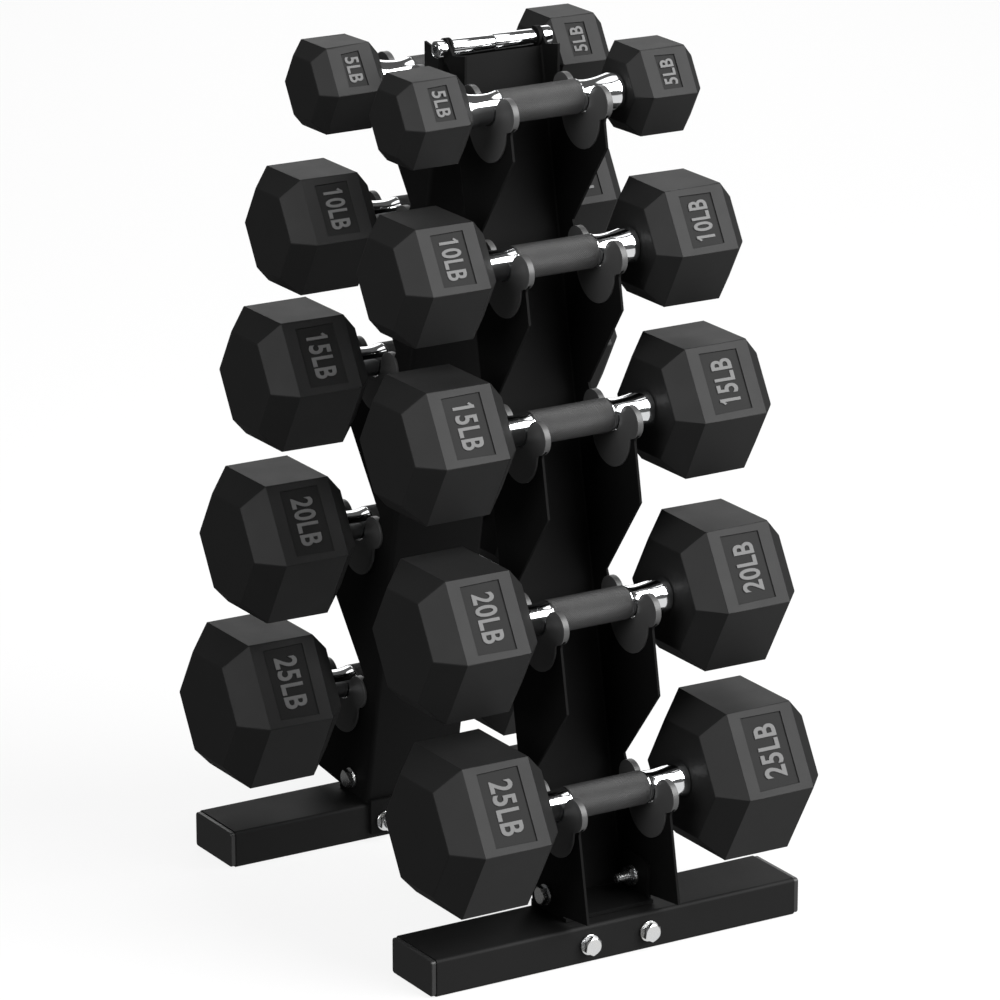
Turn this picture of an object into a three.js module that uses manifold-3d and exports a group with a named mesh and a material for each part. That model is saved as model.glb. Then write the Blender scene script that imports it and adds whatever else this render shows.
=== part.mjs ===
// A-frame dumbbell rack with five pairs of hexagonal dumbbells.
// Millimetres, +Z up, +X along the handles, the front of the rack towards -Y.
// The origin is on the floor, in the middle of the footprint.
import * as THREE from 'three';
import { mergeVertices } from 'three/addons/utils/BufferGeometryUtils.js';
import Module from 'manifold-3d';

const wasm = await Module();
wasm.setup();

// ---------- driving dimensions ----------

const gap = 0.3; // between pieces that touch
const footY = 155; // middle of each foot, from the middle of the rack
const footWidth = 60;
const footHeight = 30;
const footCorner = 3;
const tubeLength = 320;
const tubeWall = 2;
const capThickness = 3.9;
const plugDepth = 12;
const plugWall = 2;

const legTilt = THREE.MathUtils.degToRad(10.8); // each leg leans towards the other
const webFootY = 127.3; // front face of the web where it meets the foot's top
const sheet = 2; // steel of the legs
const channelWidth = 83;
const bendRadius = 2;
const flangeDepth = 79; // from the web's front face to the outer edge
const legLength = 648;
const cradleDepth = 51.2; // from the web's front face to the handle's axis
const cradleRadius = 16;
const outerHornRadius = 8.5;
const innerHornRadius = 6;
const hornLead = 20; // length of the curve that leads out to a cradle's outer horn
const hornDrop = 8;
const shoulder = { inwards: 30, up: 5 }; // where the curve from the inner horn turns up
const notch = { depth: 20.5, above: 22 }; // the narrowest place, above each cradle
const topNotch = { depth: 19.5, above: 17 };
const topEdge = 24; // depth of the flange at the leg's top

const barZ = 671; // axis of the bar that joins the legs
const barRadius = 6.25;
const earRadius = 8;
const earRoot = { top: 3, bottom: 22 }; // below the bar, where an ear leaves its flange
const earChin = { y: 6, below: 14 };
const frontEarReach = 12;
const joggle = { inner: 11, outer: 20, top: 4.5, bottom: 20 }; // the step in to the rear leg's ears
const earOffset = sheet + gap; // the rear leg's ears lie inside the front leg's

const bracketSheet = 3;
const bracketReach = 172; // front edge of the bracket's base
const bracketTop = 63;
const bracketEar = { inner: 132, outer: 168, corner: 8 };
const bracketTabBottom = 5;
const legBolt = { y: 148, z: 46 };
const footBolt = { x: 26.5, z: 15 };

const boltRadius = 4;
const holeRadius = 4.4;
const headFlats = 13; // across the flats of bolt heads and nuts
const headThickness = 5.3;
const nutThickness = 4.8;
const washerRadius = 8.2;
const washerThickness = 1.6;
const legBoltLength = 22;
const footBoltLength = 76;
const topHead = { radius: 6.75, length: 8, socket: 3.6, socketDepth: 5 };
const topCap = { radius: 7.25, length: 8.5, boreDepth: 6.8 }; // the nut at the bar's other end

const knurlHalf = 34; // half the length of the knurled grip
const gripRadius = 13;
const neckRadius = 11.7;
const neck = { start: 43, end: 52 }; // its place along the handle
const collarRadius = 15;
const headInnerX = 69.5; // inner end of every dumbbell head
const stubRadius = 11; // end of the handle that is pressed into the head
const stubLength = 15.5;
const bevelRatio = 0.275; // length of a head's end bevel, of its corner radius
const endRatio = 0.69; // size of a head's end face, of its middle
const labelDepth = 1;
const labelMargin = { x: 9.5, face: 6.2 };

// A tier: nominal weight, height along the leg, start of the flange's outer edge below
// the cradle, corner radius of the hexagon, and where its straight middle ends.
const tiers = [
  { pounds: 25, along: 84, edgeStart: -5, radius: 68.8, middleEnd: 144.8 },
  { pounds: 20, along: 226.5, edgeStart: 156, radius: 64.6, middleEnd: 141.5 },
  { pounds: 15, along: 369.5, edgeStart: 303.5, radius: 59.1, middleEnd: 139.5 },
  { pounds: 10, along: 493.5, edgeStart: 449, radius: 52.2, middleEnd: 132.5 },
  { pounds: 5, along: 609.5, edgeStart: 570.5, radius: 38.3, middleEnd: 117.5 },
];

// ---------- materials ----------

const powderBlack = new THREE.MeshStandardMaterial({ color: 0x151515, roughness: 0.5, metalness: 0.1 });
const bracketBlack = new THREE.MeshStandardMaterial({ color: 0x0c0c0c, roughness: 0.6, metalness: 0.1 });
const chrome = new THREE.MeshStandardMaterial({ color: 0xd8d8da, roughness: 0.12, metalness: 1 });
const zinc = new THREE.MeshStandardMaterial({ color: 0xc8c9cb, roughness: 0.25, metalness: 1 });
const rubber = new THREE.MeshStandardMaterial({ color: 0x3a3b3c, roughness: 0.85, metalness: 0 });
const capPlastic = new THREE.MeshStandardMaterial({ color: 0x1c1c1c, roughness: 0.6, metalness: 0 });

// ---------- shared solids ----------

function solidOf(geometry) {
  geometry.deleteAttribute('normal');
  geometry.deleteAttribute('uv');
  const merged = mergeVertices(geometry, 1e-4);
  return new wasm.Manifold(new wasm.Mesh({
    numProp: 3,
    vertProperties: new Float32Array(merged.attributes.position.array),
    triVerts: new Uint32Array(merged.index.array),
  }));
}

function geometryOf(solid) {
  const mesh = solid.getMesh();
  const geometry = new THREE.BufferGeometry();
  geometry.setAttribute('position', new THREE.BufferAttribute(new Float32Array(mesh.vertProperties), 3));
  geometry.setIndex(new THREE.BufferAttribute(new Uint32Array(mesh.triVerts), 1));
  geometry.computeVertexNormals();
  return geometry;
}

function box(low, high) {
  const size = high.map((value, axis) => value - low[axis]);
  const geometry = new THREE.BoxGeometry(...size);
  geometry.translate(...high.map((value, axis) => (value + low[axis]) / 2));
  return solidOf(geometry);
}

// A round bar along 'x' or 'y', between two places on that axis; across holds the other two.
function rod(axis, start, end, radius, across, sides = 10) {
  const geometry = new THREE.CylinderGeometry(radius, radius, end - start, sides);
  const middle = (start + end) / 2;
  if (axis === 'x') {
    geometry.rotateZ(-Math.PI / 2);
    geometry.translate(middle, across[0], across[1]);
  } else {
    geometry.translate(across[0], middle, across[1]);
  }
  return solidOf(geometry);
}

// An outline drawn in the YZ plane, extruded along X between two places.
function slabAlongX(shape, start, end, curveSegments = 8) {
  const geometry = new THREE.ExtrudeGeometry(shape, {
    depth: end - start, bevelEnabled: false, curveSegments,
  });
  geometry.applyMatrix4(new THREE.Matrix4().makeBasis(
    new THREE.Vector3(0, 1, 0), new THREE.Vector3(0, 0, 1), new THREE.Vector3(1, 0, 0),
  ));
  geometry.translate(start, 0, 0);
  return solidOf(geometry);
}

function roundedRectangle(width, height, radius) {
  const shape = new THREE.Shape();
  const x = width / 2 - radius;
  const y = height / 2 - radius;
  shape.absarc(x, y, radius, 0, Math.PI / 2);
  shape.absarc(-x, y, radius, Math.PI / 2, Math.PI);
  shape.absarc(-x, -y, radius, Math.PI, Math.PI * 1.5);
  shape.absarc(x, -y, radius, Math.PI * 1.5, Math.PI * 2);
  return shape;
}

function rectangle(width, height) {
  const shape = new THREE.Shape();
  shape.moveTo(-width / 2, -height / 2);
  shape.lineTo(width / 2, -height / 2);
  shape.lineTo(width / 2, height / 2);
  shape.lineTo(-width / 2, height / 2);
  shape.closePath();
  return shape;
}

const rack = new THREE.Group();
const rearSide = new THREE.Group();
rearSide.rotation.z = Math.PI;
rack.add(rearSide);

// Pieces are drawn for the front side; the rear side is the same one turned round.
function place(name, solid, material, group = rack) {
  const mesh = new THREE.Mesh(geometryOf(solid), material);
  mesh.name = name;
  group.add(mesh);
}

// ---------- legs ----------

// A point of the front leg in (Y, Z): depth outwards from the web, along up the leg.
function onLeg(depth, along) {
  return new THREE.Vector2(
    -webFootY + along * Math.sin(legTilt) - depth * Math.cos(legTilt),
    footHeight + along * Math.cos(legTilt) + depth * Math.sin(legTilt),
  );
}

// A point beside a tier's handle axis: outwards, and up.
function besideAxis(tier, outwards, up) {
  const axis = onLeg(cradleDepth, tier.along);
  return new THREE.Vector2(axis.x - outwards, axis.y + up);
}

function flangeOutline() {
  const shape = new THREE.Shape();
  const line = (point) => shape.lineTo(point.x, point.y);
  const curve = (control, point) => shape.quadraticCurveTo(control.x, control.y, point.x, point.y);
  const start = onLeg(-sheet, 0.9);
  shape.moveTo(start.x, start.y);
  tiers.forEach((tier, index) => {
    const axis = besideAxis(tier, 0, 0);
    const hornReach = cradleRadius + 2 * outerHornRadius;
    line(onLeg(flangeDepth, tier.edgeStart));
    line(onLeg(flangeDepth, tier.along - hornLead));
    curve(besideAxis(tier, hornReach, -hornDrop), besideAxis(tier, hornReach, 0));
    shape.absarc(axis.x - cradleRadius - outerHornRadius, axis.y, outerHornRadius, Math.PI, 0, true);
    shape.absarc(axis.x, axis.y, cradleRadius, Math.PI, Math.PI * 2);
    shape.absarc(axis.x + cradleRadius + innerHornRadius, axis.y, innerHornRadius,
      Math.PI, Math.PI / 3, true);
    const { depth, above } = index === tiers.length - 1 ? topNotch : notch;
    curve(besideAxis(tier, -shoulder.inwards, shoulder.up), onLeg(depth, tier.along + above));
  });
  line(onLeg(topEdge, legLength));
  line(onLeg(-sheet, legLength));
  shape.closePath();
  return shape;
}

// The bent sheet: a web and two flanges, as one long channel, drawn downwards from its top.
function channel() {
  const half = channelWidth / 2;
  const outer = bendRadius + sheet;
  const front = flangeDepth + 12;
  const shape = new THREE.Shape();
  shape.moveTo(half, front);
  shape.lineTo(half - sheet, front);
  shape.absarc(half - sheet - bendRadius, bendRadius, bendRadius, 0, -Math.PI / 2, true);
  shape.absarc(-half + sheet + bendRadius, bendRadius, bendRadius, -Math.PI / 2, -Math.PI, true);
  shape.lineTo(-half + sheet, front);
  shape.lineTo(-half, front);
  shape.absarc(-half + outer, outer - sheet, outer, Math.PI, Math.PI * 1.5);
  shape.absarc(half - outer, outer - sheet, outer, -Math.PI / 2, 0);
  shape.closePath();
  const geometry = new THREE.ExtrudeGeometry(shape, {
    depth: legLength + 40, bevelEnabled: false, curveSegments: 4,
  });
  const outwards = new THREE.Vector3(0, -Math.cos(legTilt), Math.sin(legTilt));
  const down = new THREE.Vector3(0, -Math.sin(legTilt), -Math.cos(legTilt));
  geometry.applyMatrix4(new THREE.Matrix4().makeBasis(new THREE.Vector3(1, 0, 0), outwards, down));
  const top = onLeg(0, legLength + 15);
  geometry.translate(0, top.x, top.y);
  return solidOf(geometry);
}

// A tab that carries the bar: from the flange's top corner to a round end about the bar.
function ear(start, end, root) {
  const shape = new THREE.Shape();
  shape.moveTo(-root, barZ - earRoot.top);
  shape.lineTo(-root, barZ - earRoot.bottom);
  shape.lineTo(-earChin.y, barZ - earChin.below);
  shape.absarc(0, barZ, earRadius, -Math.PI / 3, Math.PI * 0.6);
  shape.closePath();
  return slabAlongX(shape, start, end);
}

function leg(isRear) {
  const half = channelWidth / 2;
  const inside = half - sheet;
  const inset = isRear ? earOffset : 0;
  const ordered = (side, from, to) => [side * from, side * to].sort((a, b) => a - b);
  // The web stops above the bracket's base, and clear of the other leg's ears.
  const footTop = footHeight + gap + bracketSheet + gap;
  const clearance = isRear ? half + 1 : inside - gap / 2;
  let solid = channel().intersect(slabAlongX(flangeOutline(), -half - 1, half + 1));
  solid = solid.subtract(box([-inside, -webFootY - 30, 0], [inside, -webFootY + 30, footTop]));
  solid = solid.subtract(rod('x', -clearance, clearance, earRadius + 0.5, [0, barZ], 16));
  for (const side of [-1, 1]) {
    const faces = ordered(side, half - inset - sheet, half - inset);
    solid = solid.add(ear(faces[0], faces[1], isRear ? joggle.outer : frontEarReach));
    if (isRear) {
      const across = ordered(side, half - inset - sheet, half);
      solid = solid.add(box(
        [across[0], -joggle.outer, barZ - joggle.bottom],
        [across[1], -joggle.inner, barZ - joggle.top],
      ));
    }
  }
  solid = solid.subtract(rod('x', -half - 5, half + 5, holeRadius, [0, barZ]));
  return solid.subtract(rod('x', -half - 5, half + 5, holeRadius, [-legBolt.y, legBolt.z]));
}

place('front_leg', leg(false), powderBlack);
place('rear_leg', leg(true), powderBlack, rearSide);

// ---------- feet ----------

function footTube() {
  const shape = roundedRectangle(footWidth, footHeight, footCorner);
  shape.holes.push(rectangle(footWidth - 2 * tubeWall, footHeight - 2 * tubeWall));
  let solid = slabAlongX(shape, -tubeLength / 2, tubeLength / 2, 4).translate(0, -footY, footHeight / 2);
  for (const x of [-footBolt.x, footBolt.x]) {
    solid = solid.subtract(rod('y', -footY - footWidth, -footY + footWidth, holeRadius, [x, footBolt.z]));
  }
  return solid;
}

// A plastic cap that closes a foot's right end; the plug is open towards the tube.
function endCap() {
  const start = tubeLength / 2 + gap;
  const plugWidth = footWidth - 2 * tubeWall - 2 * gap;
  const plugHeight = footHeight - 2 * tubeWall - 2 * gap;
  const face = roundedRectangle(footWidth, footHeight, footCorner);
  const plate = slabAlongX(face, start, start + capThickness, 4);
  const plug = slabAlongX(rectangle(plugWidth, plugHeight), start - plugDepth, start + 1);
  const bore = rectangle(plugWidth - 2 * plugWall, plugHeight - 2 * plugWall);
  const hollow = slabAlongX(bore, start - plugDepth - 1, start);
  return plate.add(plug).subtract(hollow).translate(0, -footY, footHeight / 2);
}

// A bent plate: a base on the foot, an ear inside each flange, and a tab down the foot's inner face.
function footBracket() {
  const half = channelWidth / 2 - sheet - gap;
  const base = footHeight + gap;
  const innerFace = footY - footWidth / 2 - gap;
  const tabY = -innerFace + bracketSheet;
  let solid = box([-half, -bracketReach, base], [half, tabY, base + bracketSheet]);
  solid = solid.add(box([-half, -innerFace, bracketTabBottom], [half, tabY, base + bracketSheet]));
  const earShape = new THREE.Shape();
  const { inner, outer, corner } = bracketEar;
  earShape.moveTo(-inner, base);
  earShape.lineTo(-inner, bracketTop - corner);
  earShape.absarc(-inner - corner, bracketTop - corner, corner, 0, Math.PI / 2);
  earShape.absarc(-outer + corner, bracketTop - corner, corner, Math.PI / 2, Math.PI);
  earShape.lineTo(-outer, base);
  earShape.closePath();
  for (const start of [-half, half - bracketSheet]) {
    solid = solid.add(slabAlongX(earShape, start, start + bracketSheet, 5));
  }
  for (const x of [-footBolt.x, footBolt.x]) {
    solid = solid.subtract(rod('y', tabY - 10, tabY + 10, holeRadius, [x, footBolt.z]));
  }
  return solid.subtract(rod('x', -half - 5, half + 5, holeRadius, [-legBolt.y, legBolt.z]));
}

for (const [end, group] of [['front', rack], ['rear', rearSide]]) {
  place(`${end}_foot`, footTube(), powderBlack, group);
  place(`${end}_foot_bracket`, footBracket(), bracketBlack, group);
  // On the turned rear side, left and right change over.
  const [drawn, turned] = end === 'front' ? ['right', 'left'] : ['left', 'right'];
  place(`${end}_foot_cap_${drawn}`, endCap(), capPlastic, group);
  place(`${end}_foot_cap_${turned}`, endCap().mirror([1, 0, 0]), capPlastic, group);
}

// ---------- fasteners ----------

const hexRadius = headFlats / 2 / Math.cos(Math.PI / 6);

// A hex bolt with its washer, from the face it presses on, along the axis towards its point.
function hexBolt(axis, face, direction, length, across) {
  const span = (from, to) => [face + direction * from, face + direction * to].sort((a, b) => a - b);
  const washer = rod(axis, ...span(-washerThickness, 0), washerRadius, across, 12);
  const head = rod(axis, ...span(-washerThickness - headThickness, -washerThickness / 2), hexRadius, across, 6);
  const shank = rod(axis, ...span(-washerThickness, length), boltRadius, across, 8);
  return washer.add(head).add(shank);
}

function hexNut(axis, face, direction, across) {
  const span = (from, to) => [face + direction * from, face + direction * to].sort((a, b) => a - b);
  const washer = rod(axis, ...span(0, washerThickness), washerRadius, across, 12);
  const nut = rod(axis, ...span(washerThickness / 2, washerThickness + nutThickness), hexRadius, across, 6);
  return washer.add(nut).subtract(rod(axis, ...span(-1, 12), boltRadius + gap + 0.1, across, 8));
}

for (const [end, group] of [['front', rack], ['rear', rearSide]]) {
  for (const side of [-1, 1]) {
    const name = (side < 0) === (end === 'front') ? 'left' : 'right';
    const legAcross = [-legBolt.y, legBolt.z];
    const flangeFace = side * (channelWidth / 2 + gap);
    const earFace = side * (channelWidth / 2 - sheet - 2 * gap - bracketSheet);
    place(`${end}_leg_bolt_${name}`, hexBolt('x', flangeFace, -side, legBoltLength, legAcross), zinc, group);
    place(`${end}_leg_nut_${name}`, hexNut('x', earFace, -side, legAcross), zinc, group);
    const footAcross = [side * footBolt.x, footBolt.z];
    const outerFace = -footY - footWidth / 2 - gap;
    const tabFace = -footY + footWidth / 2 + bracketSheet + 2 * gap;
    const longBolt = hexBolt('y', outerFace, 1, footBoltLength, footAcross);
    place(`${end}_foot_bolt_${name}`, longBolt, zinc, group);
    place(`${end}_foot_nut_${name}`, hexNut('y', tabFace, 1, footAcross), zinc, group);
  }
}

// ---------- bar between the leg tops ----------

const barHeadStart = channelWidth / 2 + gap;

function topBolt() {
  const headEnd = -barHeadStart - topHead.length;
  const head = rod('x', headEnd, -barHeadStart, topHead.radius, [0, barZ], 14);
  const socket = rod('x', headEnd - 1, headEnd + topHead.socketDepth, topHead.socket, [0, barZ], 6);
  return head.subtract(socket).add(rod('x', -barHeadStart - 1, barHeadStart + 6, boltRadius, [0, barZ], 8));
}

function topNut() {
  const body = rod('x', barHeadStart, barHeadStart + topCap.length, topCap.radius, [0, barZ], 14);
  const boreEnd = barHeadStart + topCap.boreDepth;
  return body.subtract(rod('x', barHeadStart - 1, boreEnd, boltRadius + gap + 0.1, [0, barZ], 8));
}

function sleeve(start, end) {
  return rod('x', start, end, barRadius, [0, barZ], 16)
    .subtract(rod('x', start - 1, end + 1, boltRadius + gap + 0.1, [0, barZ], 8));
}

const sleeveEnd = channelWidth / 2 - sheet - earOffset - gap;
place('top_bolt', topBolt(), chrome);
place('top_nut', topNut(), chrome);
place('top_sleeve_left', sleeve(-sleeveEnd, -gap / 2), chrome);
place('top_sleeve_right', sleeve(gap / 2, sleeveEnd), chrome);

// ---------- dumbbells ----------

function handle() {
  const halfProfile = [
    [0, headInnerX + stubLength], [stubRadius, headInnerX + stubLength],
    [stubRadius, headInnerX - gap], [collarRadius, headInnerX - gap],
    [neckRadius + 0.6, neck.end], [neckRadius, neck.start], [gripRadius, knurlHalf],
  ];
  const profile = [
    ...halfProfile.map(([radius, x]) => new THREE.Vector2(radius, -x)),
    ...halfProfile.map(([radius, x]) => new THREE.Vector2(radius, x)).reverse(),
  ];
  const geometry = new THREE.LatheGeometry(profile, 14);
  geometry.rotateZ(-Math.PI / 2);
  return solidOf(geometry);
}

// A right-hand head: a hexagon with flats at top and bottom, bevelled at both ends.
function head(tier) {
  const bevel = bevelRatio * tier.radius;
  const stations = [
    [headInnerX, endRatio], [headInnerX + bevel, 1], [tier.middleEnd, 1], [tier.middleEnd + bevel, endRatio],
  ];
  const profile = [new THREE.Vector2(0, stations[0][0])];
  for (const [x, scale] of stations) profile.push(new THREE.Vector2(tier.radius * scale, x));
  profile.push(new THREE.Vector2(0, stations[3][0]));
  const geometry = new THREE.LatheGeometry(profile, 6);
  geometry.rotateY(Math.PI / 2);
  geometry.rotateZ(-Math.PI / 2);
  const bore = rod('x', headInnerX - 1, headInnerX + stubLength + gap, stubRadius + 2 * gap, [0, 0], 14);
  // The sunk label is on the face that looks forwards and up.
  const flat = tier.radius * Math.cos(Math.PI / 6);
  const halfFace = tier.radius / 2 - labelMargin.face;
  const label = box(
    [headInnerX + bevel + labelMargin.x, -flat - 5, -halfFace],
    [tier.middleEnd - labelMargin.x, -flat + labelDepth, halfFace],
  ).rotate([-30, 0, 0]);
  return solidOf(geometry).subtract(bore).subtract(label);
}

for (const end of ['front', 'rear']) {
  for (const tier of tiers) {
    const axis = besideAxis(tier, 0, 0);
    const group = new THREE.Group();
    group.position.set(0, end === 'front' ? axis.x : -axis.x, axis.y);
    rack.add(group);
    const name = `${end}_${tier.pounds}lb`;
    place(`${name}_handle`, handle(), chrome, group);
    place(`${name}_head_right`, head(tier), rubber, group);
    place(`${name}_head_left`, head(tier).mirror([1, 0, 0]), rubber, group);
  }
}

export default rack;
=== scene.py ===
import math

import bmesh
import bpy
from mathutils import Matrix, Vector


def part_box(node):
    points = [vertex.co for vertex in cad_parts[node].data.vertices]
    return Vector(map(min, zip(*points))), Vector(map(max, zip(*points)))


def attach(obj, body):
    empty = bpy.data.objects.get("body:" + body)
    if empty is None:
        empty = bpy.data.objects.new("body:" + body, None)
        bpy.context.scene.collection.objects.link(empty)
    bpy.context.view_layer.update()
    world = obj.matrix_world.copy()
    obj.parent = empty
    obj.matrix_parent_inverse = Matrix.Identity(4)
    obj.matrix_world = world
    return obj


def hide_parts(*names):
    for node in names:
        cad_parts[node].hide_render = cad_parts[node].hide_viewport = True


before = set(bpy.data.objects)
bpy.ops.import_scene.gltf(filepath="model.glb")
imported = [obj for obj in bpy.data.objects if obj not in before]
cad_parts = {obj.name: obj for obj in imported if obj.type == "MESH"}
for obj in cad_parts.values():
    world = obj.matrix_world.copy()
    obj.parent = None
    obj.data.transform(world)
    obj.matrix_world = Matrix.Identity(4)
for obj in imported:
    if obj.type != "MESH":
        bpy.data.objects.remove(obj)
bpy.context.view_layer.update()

mm = 0.001
pounds = (25, 20, 15, 10, 5)
ends = ("front", "rear")
sides = ("left", "right")


# ---- shader maths

class Wire:
    # wraps an output socket, so that sums on patterns read as sums
    def __init__(self, finish, socket):
        self.finish = finish
        self.socket = socket

    def sum(self, operation, first, second):
        return self.finish.node("ShaderNodeMath", {"operation": operation}, {0: first, 1: second})

    def __add__(self, other):
        return self.sum("ADD", self, other)

    def __sub__(self, other):
        return self.sum("SUBTRACT", self, other)

    def __rsub__(self, other):
        return self.sum("SUBTRACT", other, self)

    def __mul__(self, other):
        return self.sum("MULTIPLY", self, other)

    __radd__ = __add__
    __rmul__ = __mul__


class Finish:
    # one material: fixed values go straight on the shader, patterns are plugged in
    def __init__(self, name, **fixed):
        self.material = bpy.data.materials.new(name)
        self.material.use_nodes = True
        self.tree = self.material.node_tree
        self.shader = self.tree.nodes["Principled BSDF"]
        for socket, value in fixed.items():
            self.shader.inputs[socket.replace("_", " ")].default_value = value
        self.place = self.node("ShaderNodeTexCoord", out="Object")

    def node(self, kind, settings={}, sockets={}, out=0):
        made = self.tree.nodes.new(kind)
        for setting, value in settings.items():
            setattr(made, setting, value)
        for socket, value in sockets.items():
            self.plug(made.inputs[socket], value)
        return Wire(self, made.outputs[out])

    def plug(self, socket, value):
        if isinstance(value, Wire):
            self.tree.links.new(value.socket, socket)
        else:
            socket.default_value = value

    def clouds(self, size, detail=3, rough=0.5, place=None):
        return self.node("ShaderNodeTexNoise", {}, {
            "Vector": place or self.place, "Scale": 1 / size, "Detail": detail, "Roughness": rough})

    def cut(self, value, low, high):
        return self.node("ShaderNodeMapRange", {"clamp": True}, {0: value, 1: low, 2: high, 3: 0, 4: 1})

    def blend(self, share, first, second):
        return self.node("ShaderNodeMix", {"data_type": "RGBA"}, {0: share, 6: first, 7: second}, out=2)

    def wear(self, **patterns):
        for socket, value in patterns.items():
            self.plug(self.shader.inputs[socket.replace("_", " ")], value)
        return self.material

    def relief(self, height, depth, strength=1.0):
        return self.node("ShaderNodeBump", {}, {"Height": height, "Distance": depth, "Strength": strength})


def grey(value, warmth=0.0):
    return (value * (1 + warmth), value, value * (1 - warmth), 1)


rubber = {
    "body": 0.01, "panel": 0.011, "letters": 0.12, "scuff": 0.035,
    "bodyShine": 0.22, "panelShine": 0.1, "letterShine": 0.2, "roughness": 0.5,
    "grain": 0.7 * mm, "grainDepth": 0.05 * mm,
}


def rubberFinish(name, tone, shine):
    finish = Finish(name, Specular_IOR_Level=shine)
    grain = finish.clouds(rubber["grain"], 4, 0.6)
    mottle = finish.clouds(24 * mm, 5, 0.6)
    edge = finish.node("ShaderNodeAttribute", {"attribute_name": "edge"}, out="Fac")
    rubbed = edge * finish.cut(finish.clouds(9 * mm, 4, 0.7), 0.35, 0.7)
    plain = finish.blend(mottle * 0.6 + grain * 0.4, grey(tone * 0.82), grey(tone * 1.18))
    color = finish.blend(rubbed * 0.45, plain, grey(rubber["scuff"]))
    return finish.wear(
        Base_Color=color,
        Roughness=rubber["roughness"] + mottle * 0.12 - rubbed * 0.08,
        Normal=finish.relief(grain, rubber["grainDepth"], 0.5))


headRubber = rubberFinish("headRubber", rubber["body"], rubber["bodyShine"])
panelRubber = rubberFinish("panelRubber", rubber["panel"], rubber["panelShine"])
letterPaint = rubberFinish("letterPaint", rubber["letters"], rubber["letterShine"])


# the darkest and lightest tone and the roughness of each plated surface
plating = {"chrome": (0.78, 0.86, 0.05), "knurl": (0.06, 0.115, 0.5), "zincRoughness": 0.16}


def chromeFinish():
    dark, light, roughness = plating["chrome"]
    finish = Finish("polishedChrome", Metallic=1.0)
    haze = finish.clouds(18 * mm, 4, 0.6)
    rubs = finish.clouds(1.2 * mm, 3, 0.7, finish.node(
        "ShaderNodeMapping", {}, {"Vector": finish.place, "Scale": (6, 0.6, 0.6)}))
    return finish.wear(
        Base_Color=finish.blend(haze, grey(dark, -0.01), grey(light, -0.01)),
        Roughness=roughness + haze * 0.06 + finish.cut(rubs, 0.6, 0.8) * 0.05)


def knurlFinish():
    dark, light, roughness = plating["knurl"]
    finish = Finish("knurledChrome", Metallic=1.0)
    haze = finish.clouds(10 * mm, 4, 0.6)
    fine = finish.clouds(0.5 * mm, 2, 0.5)
    return finish.wear(
        Base_Color=finish.blend(haze * 0.5 + fine * 0.5, grey(dark), grey(light)),
        Roughness=roughness + haze * 0.12)


def zincFinish():
    finish = Finish("brightZinc", Metallic=1.0)
    flakes = finish.clouds(1.6 * mm, 3, 0.7)
    tint = finish.clouds(9 * mm, 2, 0.5)
    return finish.wear(
        Base_Color=finish.blend(tint, (0.72, 0.74, 0.78, 1), (0.80, 0.79, 0.75, 1)),
        Roughness=plating["zincRoughness"] + flakes * 0.18,
        Normal=finish.relief(flakes, 0.02 * mm, 0.4))


powder = {
    "tone": 0.004, "bracketTone": 0.003, "worn": 0.04, "roughness": 0.55, "bracketRoughness": 0.6,
    "footShine": 0.18, "legShine": 0.08, "bracketShine": 0.12, "peel": 1.1 * mm, "peelDepth": 0.05 * mm,
}


def powderFinish(name, tone, roughness, shine):
    finish = Finish(name, Specular_IOR_Level=shine)
    peel = finish.clouds(powder["peel"], 2, 0.5)
    dust = finish.clouds(60 * mm, 5, 0.65)
    edge = finish.node("ShaderNodeAttribute", {"attribute_name": "edge"}, out="Fac")
    thin = edge * finish.cut(finish.clouds(6 * mm, 4, 0.7), 0.4, 0.7)
    color = finish.blend(dust, grey(tone * 0.8), grey(tone * 1.25))
    return finish.wear(
        Base_Color=finish.blend(thin * 0.4, color, grey(powder["worn"])),
        Roughness=roughness + dust * 0.14 + peel * 0.05,
        Normal=finish.relief(peel, powder["peelDepth"], 0.5))


# the tone, roughness and grain of each plastic
plastic = {"liner": (0.055, 0.38, 0.5 * mm), "cap": (0.014, 0.4, 0.7 * mm)}


def plasticFinish(name, tone, roughness, grain):
    finish = Finish(name, Specular_IOR_Level=0.5)
    pits = finish.clouds(grain, 3, 0.6)
    flow = finish.clouds(15 * mm, 3, 0.5)
    return finish.wear(
        Base_Color=finish.blend(flow * 0.7 + pits * 0.3, grey(tone * 0.85), grey(tone * 1.15)),
        Roughness=roughness + flow * 0.1,
        Normal=finish.relief(pits, 0.03 * mm, 0.4))


chrome = chromeFinish()
knurled = knurlFinish()
zinc = zincFinish()
framePowder = powderFinish("framePowder", powder["tone"], powder["roughness"], powder["footShine"])
legPowder = powderFinish("legPowder", powder["tone"], powder["roughness"], powder["legShine"])
bracketPaint = powderFinish(
    "bracketPaint", powder["bracketTone"], powder["bracketRoughness"], powder["bracketShine"])
linerPlastic = plasticFinish("linerPlastic", *plastic["liner"])
capPlastic = plasticFinish("capPlastic", *plastic["cap"])
print("materials made")


# ---- shared modelling

def piece(bm, name, body, materials, sharp=32, replaces=(), evenNormals=True):
    bmesh.ops.recalc_face_normals(bm, faces=bm.faces)
    mesh = bpy.data.meshes.new(name)
    bm.to_mesh(mesh)
    bm.free()
    return put(mesh, name, body, materials, sharp, replaces, evenNormals)


def put(mesh, name, body, materials, sharp=32, replaces=(), evenNormals=True):
    mesh.shade_smooth()
    mesh.set_sharp_from_angle(angle=math.radians(sharp))
    for material in materials:
        mesh.materials.append(material)
    made = bpy.data.objects.new(name, mesh)
    bpy.context.scene.collection.objects.link(made)
    if evenNormals:
        made.modifiers.new("evenNormals", "WEIGHTED_NORMAL").keep_sharp = True
    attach(made, body)
    if replaces:
        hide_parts(*replaces)
    return made


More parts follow.
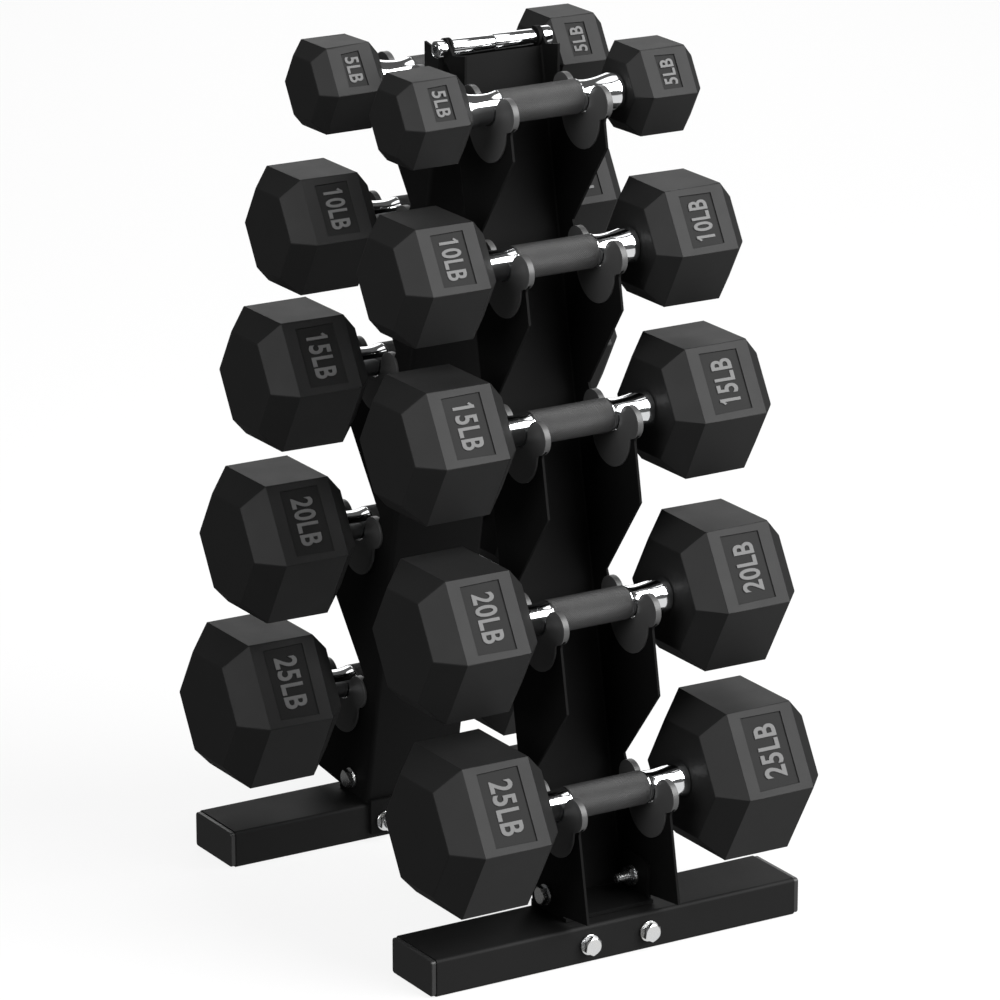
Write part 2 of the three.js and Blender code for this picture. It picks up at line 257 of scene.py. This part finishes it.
def roundOff(bm, edges, width, segments=3):
    made = bmesh.ops.bevel(
        bm, geom=edges, offset=width, offset_type="OFFSET", affect="EDGES", segments=segments,
        profile=0.5, material=-1, clamp_overlap=True)
    return made["faces"]


def sharpEdges(bm, degrees=25):
    return [e for e in bm.edges if e.is_manifold and e.calc_face_angle(0) > math.radians(degrees)]


def markEdges(bm, faces):
    layer = bm.faces.layers.float.get("edge") or bm.faces.layers.float.new("edge")
    for face in faces:
        if face.is_valid:
            face[layer] = 1


# Spins a profile of (x, radius) points round the X axis.
def turned(bm, profile, steps=48, loop=False):
    points = [bm.verts.new((x, radius, 0)) for x, radius in profile]
    pairs = list(zip(points, points[1:])) + ([(points[-1], points[0])] if loop else [])
    edges = [bm.edges.new(pair) for pair in pairs]
    made = bmesh.ops.spin(
        bm, geom=points + edges, cent=(0, 0, 0), axis=(1, 0, 0), angle=2 * math.pi, steps=steps, use_merge=True)
    bmesh.ops.remove_doubles(bm, verts=bm.verts, dist=1e-7)
    return made


# Draws an outline in the YZ plane: a vertex swings about one centre after another, then takes the straight corners.
def outline(bm, start, arcs, corners=()):
    first = tip = bm.verts.new((0, *start))
    for centre, degrees, steps in arcs:
        swung = bmesh.ops.spin(
            bm, geom=[tip], cent=(0, *centre), axis=(1, 0, 0), angle=math.radians(degrees), steps=steps)
        tip = swung["geom_last"][0]
    for corner in corners:
        point = bm.verts.new((0, *corner))
        bm.edges.new((tip, point))
        tip = point
    bm.edges.new((tip, first))
    bmesh.ops.remove_doubles(bm, verts=bm.verts, dist=1e-5)


def thicken(bm, low, high):
    face = bmesh.ops.contextual_create(bm, geom=bm.edges[:])["faces"]
    bmesh.ops.translate(bm, verts=bm.verts, vec=(low, 0, 0))
    grown = bmesh.ops.extrude_face_region(bm, geom=face)["geom"]
    points = [v for v in grown if isinstance(v, bmesh.types.BMVert)]
    bmesh.ops.translate(bm, verts=points, vec=(high - low, 0, 0))
    bmesh.ops.recalc_face_normals(bm, faces=bm.faces)


def axisOf(weight, end):
    low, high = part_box(f"{end}_{weight}lb_head_left")
    return Vector((0, (low.y + high.y) / 2, (low.z + high.z) / 2))


# ---- heads

headShape = {
    "bevelShare": 0.275, "endShare": 0.69, "edge": 0.9 * mm,
    "labelSide": 6.2 * mm, "labelEnd": 11.6 * mm, "labelDepth": 1.0 * mm, "labelEdge": 0.2 * mm,
    # height and length of the lettering
    "letters": {25: (20.0, 42.0), 20: (18.8, 38.4), 15: (18.5, 35.5), 10: (16.6, 31.8), 5: (11.6, 20.2)},
    "letterRise": 0.8 * mm,
    # the slanted stroke of the figure 1, in the font's own units and degrees
    "flagLength": 0.22, "flagWidth": 0.085, "flagIn": 0.02, "flagDown": 0.11, "flagSlant": 38,
    "cornerRoom": 0.997,
}
faceUp = Vector((0, 0.5, math.cos(math.radians(30))))  # up the label's face
faceOut = Vector((0, -math.cos(math.radians(30)), 0.5))


# Gives the figure 1, a plain bar in this font, its slanted flag.
def flagOne(mesh):
    bm = bmesh.new()
    bm.from_mesh(mesh)
    left, top = min(v.co.x for v in bm.verts), max(v.co.y for v in bm.verts)
    thickness = 1.9 * max(v.co.z for v in bm.verts)
    spot = Matrix.Translation((left - headShape["flagIn"], top - headShape["flagDown"], 0))
    slant = Matrix.Rotation(math.radians(headShape["flagSlant"]), 4, "Z")
    size = Matrix.Diagonal((headShape["flagLength"], headShape["flagWidth"], thickness, 1))
    bmesh.ops.create_cube(bm, size=1, matrix=spot @ slant @ size)
    bm.to_mesh(mesh)
    bm.free()


def lettering(weight):
    text = bpy.data.curves.new(f"weight{weight}", "FONT")
    text.body = f"{weight}LB"
    text.align_x = "CENTER"
    text.align_y = "CENTER"
    text.resolution_u = 5
    text.space_character = 1.08
    text.offset = 0.012
    text.extrude = 0.03
    text.bevel_depth = 0.012
    text.bevel_resolution = 1
    carrier = bpy.data.objects.new("carrier", text)
    bpy.context.scene.collection.objects.link(carrier)
    bpy.context.view_layer.update()
    mesh = bpy.data.meshes.new_from_object(carrier.evaluated_get(bpy.context.evaluated_depsgraph_get()))
    bpy.data.objects.remove(carrier)
    if text.body.startswith("1"):
        flagOne(mesh)
    for face in mesh.polygons:
        face.material_index = 2
    corners = [[f(v.co[axis] for v in mesh.vertices) for f in (min, max)] for axis in range(3)]
    height, length = headShape["letters"][weight]
    sizes = (length * mm, height * mm, headShape["letterRise"])
    scales = [size / (high - low) for size, (low, high) in zip(sizes, corners)]
    middle = Vector([(low + high) / 2 for low, high in corners])
    mesh.transform(Matrix.Diagonal((*scales, 1)) @ Matrix.Translation(-middle))
    return mesh


def head(weight, end, side):
    node = f"{end}_{weight}lb_head_{side}"
    low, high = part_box(node)
    sign = 1 if side == "right" else -1
    inner, outer = sorted((abs(low.x), abs(high.x)))
    radius = (high.y - low.y) / 2
    bevel = headShape["bevelShare"] * radius
    share = headShape["endShare"]
    bm = bmesh.new()
    bmesh.ops.create_circle(bm, cap_ends=True, segments=6, radius=radius * share)
    bmesh.ops.rotate(bm, verts=bm.verts, cent=(0, 0, 0), matrix=Matrix.Rotation(math.radians(90), 3, "Y"))
    bmesh.ops.translate(bm, verts=bm.verts, vec=(inner, 0, 0))
    face = bm.faces[:]
    for step, scale in ((bevel, 1 / share), (outer - inner - 2 * bevel, 1), (bevel, share)):
        grown = bmesh.ops.extrude_face_region(bm, geom=face)["geom"]
        points = [v for v in grown if isinstance(v, bmesh.types.BMVert)]
        face = [f for f in grown if isinstance(f, bmesh.types.BMFace)]
        bmesh.ops.translate(bm, verts=points, vec=(step, 0, 0))
        bmesh.ops.scale(bm, verts=points, vec=(1, scale, scale))
    bmesh.ops.recalc_face_normals(bm, faces=bm.faces)
    markEdges(bm, roundOff(bm, bm.edges[:], headShape["edge"]))
    label = max(bm.faces, key=lambda f: f.normal.dot(faceOut) * f.calc_area())
    bmesh.ops.inset_individual(
        bm, faces=[label], thickness=headShape["labelSide"] - headShape["edge"], use_even_offset=True)
    middle = label.calc_center_median()
    for v in label.verts:
        v.co.x += math.copysign(headShape["labelEnd"] - headShape["labelSide"], middle.x - v.co.x)
    rim = list(label.edges)
    label.material_index = 1
    bmesh.ops.inset_individual(bm, faces=[label], thickness=0.25 * mm, depth=-headShape["labelDepth"])
    roundOff(bm, rim + list(label.edges), headShape["labelEdge"], 2)
    text = letterMeshes[weight].copy()
    spot = middle - faceOut * (headShape["labelDepth"] - headShape["letterRise"] / 2 + 0.05 * mm)
    reading = faceUp * sign  # up on the right-hand heads, down on the left
    tops = Vector((-1, 0, 0))  # before the mirror, letters stand with their tops to the handle
    if sign < 0:
        bmesh.ops.scale(bm, verts=bm.verts, vec=(-1, 1, 1))
        spot.x = -spot.x
        tops = -tops
    text.transform(Matrix.Translation(spot) @ Matrix((reading, tops, faceOut)).transposed().to_4x4())
    bm.from_mesh(text)
    room = headShape["cornerRoom"]  # keeps the rounded corners within the plain ones
    bmesh.ops.scale(bm, verts=bm.verts, vec=(1, room, room))
    bmesh.ops.remove_doubles(bm, verts=bm.verts, dist=1e-6)
    bmesh.ops.translate(bm, verts=bm.verts, vec=axisOf(weight, end))
    return piece(bm, f"{node}_coated", f"{end}_{weight}lb",
                 (headRubber, panelRubber, letterPaint), 40, [node])


letterMeshes = {weight: lettering(weight) for weight in pounds}
for weight in pounds:
    for end in ends:
        for side in sides:
            head(weight, end, side)
print("heads made")


# ---- handles

grip = {
    "half": 34 * mm, "radius": 13 * mm, "around": 108, "along": 90, "rise": 0.3 * mm,
    # the polished neck, as (x, radius) from the knurl to the head
    "neck": [(34.0, 12.5), (34.3, 12.95), (34.9, 13.0), (35.3, 12.75), (37, 12.4), (39.5, 12.0),
             (42, 11.75), (45, 11.7), (48, 11.85), (51, 12.15), (54, 12.55), (57, 13.1),
             (60, 13.75), (63, 14.35), (65.5, 14.75), (67.5, 14.95), (68.7, 14.9), (69.1, 14.5)],
}


def handle(weight, end):
    node = f"{end}_{weight}lb_handle"
    bm = bmesh.new()
    neck = [(x * mm, r * mm) for x, r in grip["neck"]]
    turned(bm, [(grip["half"] - 0.5 * mm, 0), *neck, (neck[-1][0], 0)], 64)
    bmesh.ops.mirror(bm, geom=bm.verts[:] + bm.edges[:] + bm.faces[:], axis="X", merge_dist=-1)
    polished = set(bm.faces)
    around, along, radius = grip["around"], grip["along"], grip["radius"]
    sheet = bmesh.ops.create_grid(bm, x_segments=along, y_segments=around, size=1)["verts"]
    for v in sheet:
        column, row = round((v.co.x + 1) / 2 * along), round((v.co.y + 1) / 2 * around)
        tip = column in (0, along)
        height = -0.45 * mm if tip else (grip["rise"] / 2 if (column + row) % 2 else -grip["rise"] / 2)
        turn = 2 * math.pi * row / around
        v.co = ((2 * column / along - 1) * grip["half"], (radius + height) * math.cos(turn),
                (radius + height) * math.sin(turn))
    pits = [v for v in sheet if math.hypot(v.co.y, v.co.z) < radius]
    bmesh.ops.connect_verts(bm, verts=pits)  # the grooves between the pyramids
    bmesh.ops.remove_doubles(bm, verts=sheet, dist=1e-6)
    bmesh.ops.holes_fill(bm, edges=[e for e in bm.edges if e.is_boundary], sides=0)
    for face in bm.faces:
        if face not in polished:
            face.material_index = 1
    bmesh.ops.translate(bm, verts=bm.verts, vec=axisOf(weight, end))
    return piece(bm, f"{node}_turned", f"{end}_{weight}lb",
                 (chrome, knurled), 20, [node], False)


for weight in pounds:
    for end in ends:
        handle(weight, end)
print("handles made")


# ---- cradle liners

liner = {
    "thickness": 5 * mm, "middle": 40.5 * mm, "slot": 2.3 * mm, "skin": 2.9 * mm,
    "throat": 12.9 * mm, "horn": 12.8 * mm, "lobe": 26.5 * mm, "lobeDrop": 14 * mm,
    "rim": 0.9 * mm, "waist": 5 * mm, "panelInset": 2.6 * mm, "panelRise": 0.25 * mm,
}


def linerMesh():
    throat, horn, lobe, drop = liner["throat"], liner["horn"], liner["lobe"], liner["lobeDrop"]
    out = throat + horn
    # where the horn's circle runs into the lobe's
    apart = math.hypot(out, drop)
    along = (horn ** 2 - lobe ** 2 + apart ** 2) / (2 * apart)
    off = math.sqrt(horn ** 2 - along ** 2)
    waist = Vector((out - along * out / apart + off * drop / apart, -along * drop / apart - off * out / apart))
    hornEnd = math.degrees(math.atan2(waist.y, waist.x - out))
    lobeEnd = math.degrees(math.atan2(waist.y + drop, waist.x))
    hornTurn, lobeTurn = 180 - hornEnd, 180 + 2 * lobeEnd
    bm = bmesh.new()
    outline(bm, (throat, 0), [
        ((0, 0), -180, 24), ((-out, 0), hornTurn, 26), ((0, -drop), lobeTurn, 30), ((out, 0), hornTurn, 26)])
    corners = [v for v in bm.verts
               if abs(v.co.z - waist.y) < 0.02 * mm and abs(abs(v.co.y) - waist.x) < 0.1 * mm]
    bmesh.ops.bevel(bm, geom=corners, offset=liner["waist"], offset_type="OFFSET", affect="VERTICES",
                    segments=6, profile=0.5, material=-1)
    half = liner["thickness"] / 2
    thicken(bm, -half, half)
    roundOff(bm, sharpEdges(bm, 60), liner["rim"], 3)
    walls = [f for f in bm.faces if abs(f.normal.x) > 0.99 and f.calc_area() > 400 * mm ** 2]
    bmesh.ops.inset_individual(bm, faces=walls, thickness=liner["panelInset"])
    bmesh.ops.inset_individual(bm, faces=walls, thickness=0.35 * mm, depth=liner["panelRise"])
    body = meshOf(bm, "linerBody")
    # the slot that takes the steel's edge, with the same horns and throat a wall's thickness further in
    skin = liner["skin"]
    bm = bmesh.new()
    outline(bm, (out + horn - skin, 0), [((out, 0), 180, 20), ((0, 0), -180, 24), ((-out, 0), 180, 20)],
            [(-out - horn + skin, -60 * mm), (out + horn - skin, -60 * mm)])
    thicken(bm, -liner["slot"] / 2, liner["slot"] / 2)
    return without(body, meshOf(bm, "linerSlot"))


def meshOf(bm, name):
    bmesh.ops.recalc_face_normals(bm, faces=bm.faces)
    mesh = bpy.data.meshes.new(name)
    bm.to_mesh(mesh)
    bm.free()
    return mesh


def without(body, tool):
    holders = [bpy.data.objects.new(mesh.name, mesh) for mesh in (body, tool)]
    for holder in holders:
        bpy.context.scene.collection.objects.link(holder)
    cutting = holders[0].modifiers.new("cutting", "BOOLEAN")
    cutting.operation = "DIFFERENCE"
    cutting.object = holders[1]
    bpy.context.view_layer.update()
    made = bpy.data.meshes.new_from_object(holders[0].evaluated_get(bpy.context.evaluated_depsgraph_get()))
    for holder in holders:
        bpy.data.objects.remove(holder)
    return made


linerBody = linerMesh()
for weight in pounds:
    for end in ends:
        for side in sides:
            mesh = linerBody.copy()
            x = liner["middle"] * (1 if side == "right" else -1)
            mesh.transform(Matrix.Translation(axisOf(weight, end) + Vector((x, 0, 0))))
            put(mesh, f"{end}_{weight}lb_liner_{side}", "rack", (linerPlastic,), 40)
print("liners made")


# ---- legs and brackets: the steel's own sheet with its edges eased

steel = {"legEdge": 0.45 * mm, "bracketEdge": 0.6 * mm}


def eased(node, material, width):
    bm = bmesh.new()
    bm.from_mesh(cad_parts[node].data)
    bmesh.ops.remove_doubles(bm, verts=bm.verts, dist=1e-5)
    bmesh.ops.dissolve_limit(bm, angle_limit=math.radians(0.6), verts=bm.verts, edges=bm.edges)
    markEdges(bm, roundOff(bm, sharpEdges(bm, 32), width, 2))
    return piece(bm, f"{node}_coated", "rack", (material,), 35, [node])


for end in ends:
    eased(f"{end}_leg", legPowder, steel["legEdge"])
    eased(f"{end}_foot_bracket", bracketPaint, steel["bracketEdge"])
print("legs and brackets made")


# ---- feet

foot = {"wall": 2 * mm, "corner": 3 * mm, "rim": 0.35 * mm}
cap = {"short": 0.8 * mm, "corner": 2.6 * mm, "edge": 1.0 * mm, "plate": 3.9 * mm, "plug": 11.5 * mm}


def block(bm, low, high):
    size, middle = high - low, (high + low) / 2
    bmesh.ops.create_cube(bm, size=1)
    bmesh.ops.scale(bm, verts=bm.verts, vec=size)
    bmesh.ops.translate(bm, verts=bm.verts, vec=middle)


def lengthwise(bm):
    return [e for e in bm.edges if abs(e.verts[0].co.x - e.verts[1].co.x) > 2 * mm]


def tube(end):
    node = f"{end}_foot"
    low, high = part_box(node)
    bm = bmesh.new()
    block(bm, low, high)
    roundOff(bm, lengthwise(bm), foot["corner"], 6)
    bmesh.ops.delete(bm, geom=[f for f in bm.faces if abs(f.normal.x) > 0.9], context="FACES")
    bmesh.ops.recalc_face_normals(bm, faces=bm.faces)
    bmesh.ops.solidify(bm, geom=bm.faces[:], thickness=foot["wall"])
    markEdges(bm, roundOff(bm, sharpEdges(bm, 60), foot["rim"], 2))
    return piece(bm, f"{node}_tube", "rack", (framePowder,), 35, [node])


def endCap(end, side):
    node = f"{end}_foot_cap_{side}"
    low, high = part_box(node)
    outwards = 1 if side == "right" else -1
    outer = max(abs(low.x), abs(high.x))
    shy = Vector((0, cap["short"], cap["short"]))
    bm = bmesh.new()
    block(bm, Vector((outer - cap["plate"], low.y, low.z)) + shy, Vector((outer, high.y, high.z)) - shy)
    roundOff(bm, lengthwise(bm), cap["corner"], 5)
    face = max(bm.faces, key=lambda f: f.normal.x * f.calc_area())
    markEdges(bm, roundOff(bm, list(face.edges), cap["edge"], 4))
    back = min(bm.faces, key=lambda f: f.normal.x * f.calc_area())
    bmesh.ops.inset_individual(bm, faces=[back], thickness=foot["wall"])
    bmesh.ops.inset_individual(bm, faces=[back], thickness=0.2 * mm, depth=cap["plug"])
    bmesh.ops.inset_individual(bm, faces=[back], thickness=2 * mm)
    bmesh.ops.inset_individual(bm, faces=[back], thickness=0.2 * mm, depth=-cap["plug"])
    if outwards < 0:
        bmesh.ops.scale(bm, verts=bm.verts, vec=(-1, 1, 1))
    return piece(bm, f"{node}_moulded", "rack", (capPlastic,), 35, [node])


for end in ends:
    tube(end)
    for side in sides:
        endCap(end, side)
print("feet made")


# ---- fasteners

fastener = {
    "flats": 13 * mm, "head": 5.3 * mm, "nut": 4.8 * mm, "washer": 1.6 * mm, "washerRadius": 8.2 * mm,
    "shank": 3.95 * mm, "core": 3.4 * mm, "pitch": 1.25 * mm, "thread": 15 * mm,
    "chamfer": 0.95,  # the round face that the chamfer leaves, of the flats
    "legLength": 22 * mm, "footLength": 76 * mm,
}


def hexAt(angle, flats):
    step = math.radians(60)
    return flats / 2 / math.cos((angle + step / 2) % step - step / 2)


# A stack of rings along X: each is (x, radius), or (x, None) on the hexagon's sides.
def stack(bm, rings, flats, steps=48, closed=False):
    face = flats / 2 * fastener["chamfer"]
    made = bmesh.ops.create_circle(bm, segments=steps, radius=1)["verts"]
    bmesh.ops.rotate(bm, verts=made, cent=(0, 0, 0), matrix=Matrix.Rotation(math.radians(90), 3, "Y"))
    edges = list({e for v in made for e in v.link_edges})
    start = edges
    for index, (x, radius) in enumerate(rings):
        if index:
            grown = bmesh.ops.extrude_edge_only(bm, edges=edges)["geom"]
            made = [g for g in grown if isinstance(g, bmesh.types.BMVert)]
            edges = [g for g in grown if isinstance(g, bmesh.types.BMEdge)]
        for v in made:
            angle = math.atan2(v.co.z, v.co.y)
            reach = hexAt(angle, flats) if radius is None else radius
            slope = (reach - face) * math.tan(math.radians(30)) if radius is None and x > 1 * mm else 0
            v.co = (x - slope, reach * math.cos(angle), reach * math.sin(angle))
    if closed:
        bmesh.ops.bridge_loops(bm, edges=[e for e in start if e.is_valid] + edges)
    else:
        for loop in (start, edges):
            bmesh.ops.contextual_create(bm, geom=loop)


def washer(bm, bore):
    thick, radius, ease = fastener["washer"], fastener["washerRadius"], 0.25 * mm
    turned(bm, [(0, bore), (0, radius - ease), (ease, radius), (thick - ease, radius), (thick, radius - ease),
                (thick, bore)], 48, loop=True)


def threaded(bm, tip):
    core, crest, pitch = fastener["core"], fastener["shank"], fastener["pitch"]
    runOut = tip + fastener["thread"]
    turned(bm, [(0.5 * mm, 0), (0.5 * mm, crest), (runOut, crest), (runOut - 0.6 * mm, core),
                (tip + 0.6 * mm, core), (tip, core - 0.6 * mm), (tip, 0)], 32)
    root = core - 0.1 * mm
    tooth = ((0, root), (pitch * 0.42, crest), (pitch * 0.58, crest), (pitch * 0.98, root))
    profile = bm.faces.new([bm.verts.new((tip + 0.5 * mm + x, radius, 0)) for x, radius in tooth])
    turns = math.floor((fastener["thread"] - 1.6 * mm) / pitch)
    steps = 20  # in one turn
    bmesh.ops.spin(bm, geom=[profile], cent=(0, 0, 0), axis=(1, 0, 0), angle=2 * math.pi * turns,
                   steps=steps * turns, dvec=(pitch / steps, 0, 0))


def fit(node, bm, outwards, height, material=None):
    low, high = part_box(node)
    middle = (low + high) / 2
    axis = max(range(3), key=lambda i: abs(outwards[i]))
    edge = high[axis] if outwards[axis] > 0 else low[axis]
    middle[axis] = edge - outwards[axis] * height
    turn = Vector((1, 0, 0)).rotation_difference(outwards).to_matrix().to_4x4()
    bm.transform(Matrix.Translation(middle) @ turn)
    return piece(bm, f"{node}_plated", "rack", (material or zinc,), 30, [node], False)


def hexBolt(node, outwards, length):
    bm = bmesh.new()
    thick, top = fastener["washer"], fastener["washer"] + fastener["head"]
    flat = fastener["flats"] / 2 * fastener["chamfer"]
    washer(bm, fastener["shank"] + 0.2 * mm)
    stack(bm, [(thick, flat), (thick + 0.2 * mm, None), (top, None), (top, flat)], fastener["flats"])
    threaded(bm, -length)
    return fit(node, bm, outwards, top)


def hexNut(node, outwards):
    bm = bmesh.new()
    thick, top, bore = fastener["washer"], fastener["washer"] + fastener["nut"], fastener["shank"] + 0.3 * mm
    washer(bm, bore)
    flat = fastener["flats"] / 2 * fastener["chamfer"]
    rings = [(thick, bore + 0.5 * mm), (thick, flat), (thick + 0.2 * mm, None), (top, None), (top, flat),
             (top, bore + 0.5 * mm), (top - 0.5 * mm, bore), (thick + 0.5 * mm, bore)]
    stack(bm, rings, fastener["flats"], closed=True)
    return fit(node, bm, outwards, top)


for end, front in (("front", -1), ("rear", 1)):
    for side, right in (("left", -1), ("right", 1)):
        hexBolt(f"{end}_leg_bolt_{side}", Vector((right, 0, 0)), fastener["legLength"])
        hexNut(f"{end}_leg_nut_{side}", Vector((-right, 0, 0)))
        hexBolt(f"{end}_foot_bolt_{side}", Vector((0, front, 0)), fastener["footLength"])
        hexNut(f"{end}_foot_nut_{side}", Vector((0, -front, 0)))
print("fasteners made")


# ---- bar between the leg tops

bar = {
    "radius": 6.25 * mm, "bore": 4.3 * mm, "ease": 0.8 * mm,
    "head": 8 * mm, "socket": 6 * mm, "socketDepth": 4.5 * mm,
}


def sleeve(side):
    node = f"top_sleeve_{side}"
    low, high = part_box(node)
    radius, bore, ease = bar["radius"], bar["bore"], bar["ease"]
    centre = (low + high) / 2
    bm = bmesh.new()
    turned(bm, [(low.x, bore), (low.x, radius - ease), (low.x + ease * 0.3, radius - ease * 0.3),
                (low.x + ease, radius), (high.x - ease, radius), (high.x - ease * 0.3, radius - ease * 0.3),
                (high.x, radius - ease), (high.x, bore)], 64, loop=True)
    bmesh.ops.translate(bm, verts=bm.verts, vec=(0, centre.y, centre.z))
    return piece(bm, f"{node}_polished", "rack", (chrome,), 35, [node], False)


# A round head with eased edges and a hexagonal socket, its foot at x = 0 and its face at x = high.
def socketHead(bm, radius, high):
    flat, depth = bar["socket"], bar["socketDepth"]
    rings = [(0, radius - 0.4 * mm), (0.4 * mm, radius), (high - 1.6 * mm, radius),
             (high - 0.7 * mm, radius - 0.4 * mm), (high - 0.15 * mm, radius - 1.1 * mm),
             (high, radius - 2 * mm), (high, flat / 2 + 0.9 * mm)]
    stack(bm, rings, flat, 60)
    face = max(bm.faces, key=lambda f: f.normal.x * f.calc_center_median().x if len(f.verts) > 20 else -1)
    bmesh.ops.inset_individual(bm, faces=[face], thickness=0.2 * mm)
    for v in face.verts:
        angle = math.atan2(v.co.z, v.co.y)
        reach = hexAt(angle, flat)
        v.co = (high - 0.3 * mm, reach * math.cos(angle), reach * math.sin(angle))
    bmesh.ops.inset_individual(bm, faces=[face], thickness=0.05 * mm, depth=-depth)


def topBolt():
    low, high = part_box("top_bolt")
    bm = bmesh.new()
    socketHead(bm, (high.z - low.z) / 2, bar["head"])
    threaded(bm, -(high.x - low.x - bar["head"]))
    return fit("top_bolt", bm, Vector((-1, 0, 0)), bar["head"], chrome)


def topNut():
    low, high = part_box("top_nut")
    bm = bmesh.new()
    socketHead(bm, (high.z - low.z) / 2, high.x - low.x)
    return fit("top_nut", bm, Vector((1, 0, 0)), high.x - low.x, chrome)


topBolt()
topNut()
for side in sides:
    sleeve(side)
print("bar made")


# ---- camera, lights and floor

view = {"place": (-2.1451, -3.5478, 1.6277), "down": 17.61, "turn": -31.24, "lens": 204.15}
light = {
    "sky": 0.1, "floorGlow": 0.85,
    # place, width and brightness of each soft box
    "keyBox": ((1.58, -2.14, 2.2), 3.4, 250),
    "sideBox": ((-2.7, -1.2, 1.7), 2.0, 68),
    "backBox": ((1.75, 2.9, 1.5), 2.4, 24),
    "topBox": ((0.0, 0.1, 3.2), 2.4, 22),
    "bounceBox": ((0.5, -0.95, -0.62), 2.6, 12),
}


def softBox(name):
    place, width, power = light[name]
    made = bpy.data.objects.new(name, bpy.data.lights.new(name, "AREA"))
    made.data.shape = "DISK"
    made.data.size = width
    made.data.energy = power
    made.location = place
    made.rotation_euler = (Vector((0, 0, 0.35)) - Vector(place)).to_track_quat("-Z", "Y").to_euler()
    made.visible_camera = False
    bpy.context.scene.collection.objects.link(made)


camera = bpy.data.objects.new("camera", bpy.data.cameras.new("camera"))
camera.data.lens = view["lens"]
camera.location = view["place"]
camera.rotation_euler = (math.radians(90 - view["down"]), 0, math.radians(view["turn"]))
bpy.context.scene.collection.objects.link(camera)
bpy.context.scene.camera = camera

for name in ("keyBox", "sideBox", "backBox", "topBox", "bounceBox"):
    softBox(name)

world = bpy.data.worlds.new("studio")
world.use_nodes = True
world.node_tree.nodes["Background"].inputs["Color"].default_value = (1, 1, 1, 1)
world.node_tree.nodes["Background"].inputs["Strength"].default_value = light["sky"]
bpy.context.scene.world = world
bpy.context.scene.view_settings.view_transform = "Standard"

bm = bmesh.new()
bmesh.ops.create_grid(bm, x_segments=8, y_segments=8, size=30)
bmesh.ops.translate(bm, verts=bm.verts, vec=(0, 0, -0.3 * mm))
floor = bpy.data.objects.new("floor", meshOf(bm, "floor"))
floorPaint = Finish("palePaint", Base_Color=grey(0.12), Roughness=0.9, Specular_IOR_Level=0.1,
                    Emission_Color=grey(1.0), Emission_Strength=light["floorGlow"])
floor.data.materials.append(floorPaint.material)
bpy.context.scene.collection.objects.link(floor)
floor.visible_diffuse = False
floor.visible_glossy = False
floor.visible_shadow = False
print("stage made")

bpy.context.view_layer.update()
